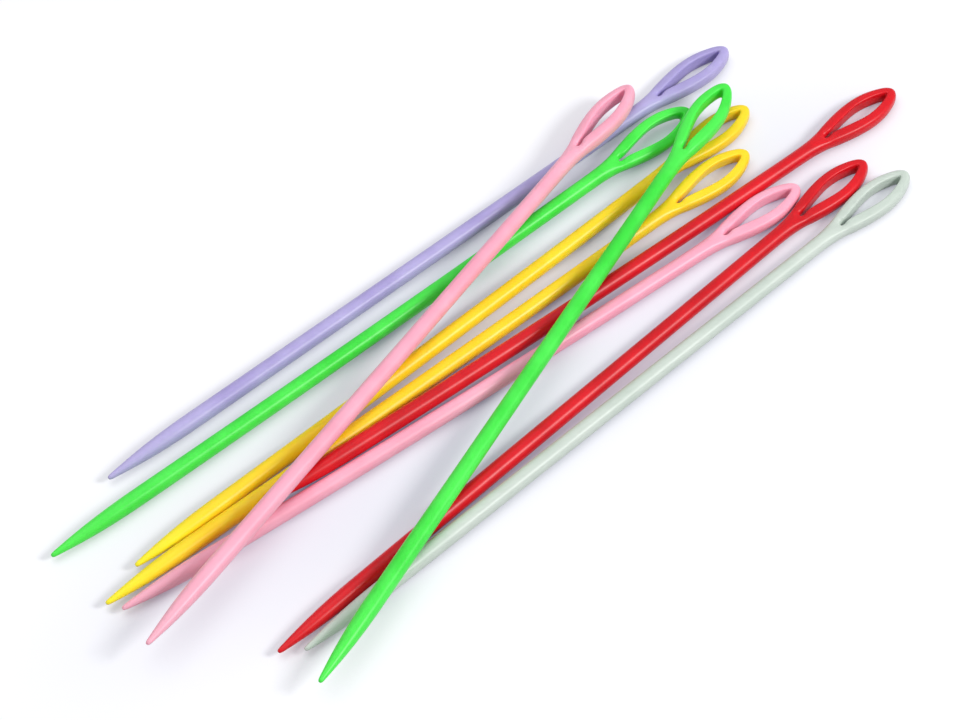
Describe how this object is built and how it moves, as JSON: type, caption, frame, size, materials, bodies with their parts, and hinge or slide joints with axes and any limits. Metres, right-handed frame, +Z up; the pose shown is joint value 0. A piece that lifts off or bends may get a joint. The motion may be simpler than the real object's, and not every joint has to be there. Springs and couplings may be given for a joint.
{
  "type": "yarn needle",
  "caption": "Loose bundle of long blunt plastic yarn needles, each with a rounded point at one end and a large leaf-shaped eye for thick yarn at the other.",
  "frame": {"origin": "middle of the bundle's footprint, on the table that it lies on", "axes": "+X along the bundle, from the points to the eyes; +Z up from the table"},
  "size_m": [0.1836, 0.0608, 0.0075],
  "materials": {
    "lilac_plastic": "semi-gloss moulded plastic",
    "green_plastic": "semi-gloss moulded plastic",
    "yellow_plastic": "semi-gloss moulded plastic",
    "red_plastic": "semi-gloss moulded plastic",
    "pink_plastic": "semi-gloss moulded plastic",
    "white_plastic": "semi-gloss moulded plastic"
  },
  "bodies": {
    "purple": {"purple_needle_shaft": "lilac_plastic", "purple_needle_eye": "lilac_plastic"},
    "green_low": {"green_low_needle_shaft": "green_plastic", "green_low_needle_eye": "green_plastic"},
    "yellow_outer": {"yellow_outer_needle_shaft": "yellow_plastic", "yellow_outer_needle_eye": "yellow_plastic"},
    "yellow_inner": {"yellow_inner_needle_shaft": "yellow_plastic", "yellow_inner_needle_eye": "yellow_plastic"},
    "red_long": {"red_long_needle_shaft": "red_plastic", "red_long_needle_eye": "red_plastic"},
    "pink_low": {"pink_low_needle_shaft": "pink_plastic", "pink_low_needle_eye": "pink_plastic"},
    "red_short": {"red_short_needle_shaft": "red_plastic", "red_short_needle_eye": "red_plastic"},
    "white": {"white_needle_shaft": "white_plastic", "white_needle_eye": "white_plastic"},
    "pink_top": {"pink_top_needle_shaft": "pink_plastic", "pink_top_needle_eye": "pink_plastic"},
    "green_top": {"green_top_needle_shaft": "green_plastic", "green_top_needle_eye": "green_plastic"}
  },
  "joints": [
    {"name": "red_short_lift", "type": "slide", "parent": "white", "child": "red_short", "axis": [0, 0, 1], "range_m": [0, 0.03]},
    {"name": "pink_low_lift", "type": "slide", "parent": "red_short", "child": "pink_low", "axis": [0, 0, 1], "range_m": [0, 0.03]},
    {"name": "yellow_inner_lift", "type": "slide", "parent": "pink_low", "child": "yellow_inner", "axis": [0, 0, 1], "range_m": [0, 0.03]},
    {"name": "red_long_lift", "type": "slide", "parent": "yellow_inner", "child": "red_long", "axis": [0, 0, 1], "range_m": [0, 0.03]},
    {"name": "yellow_outer_lift", "type": "slide", "parent": "red_long", "child": "yellow_outer", "axis": [0, 0, 1], "range_m": [0, 0.03]},
    {"name": "green_low_lift", "type": "slide", "parent": "yellow_outer", "child": "green_low", "axis": [0, 0, 1], "range_m": [0, 0.03]},
    {"name": "purple_lift", "type": "slide", "parent": "green_low", "child": "purple", "axis": [0, 0, 1], "range_m": [0, 0.03]},
    {"name": "green_top_lift", "type": "slide", "parent": "green_low", "child": "green_top", "axis": [0, 0, 1], "range_m": [0, 0.03]},
    {"name": "pink_top_lift", "type": "slide", "parent": "purple", "child": "pink_top", "axis": [0, 0, 1], "range_m": [0, 0.03]}
  ]
}
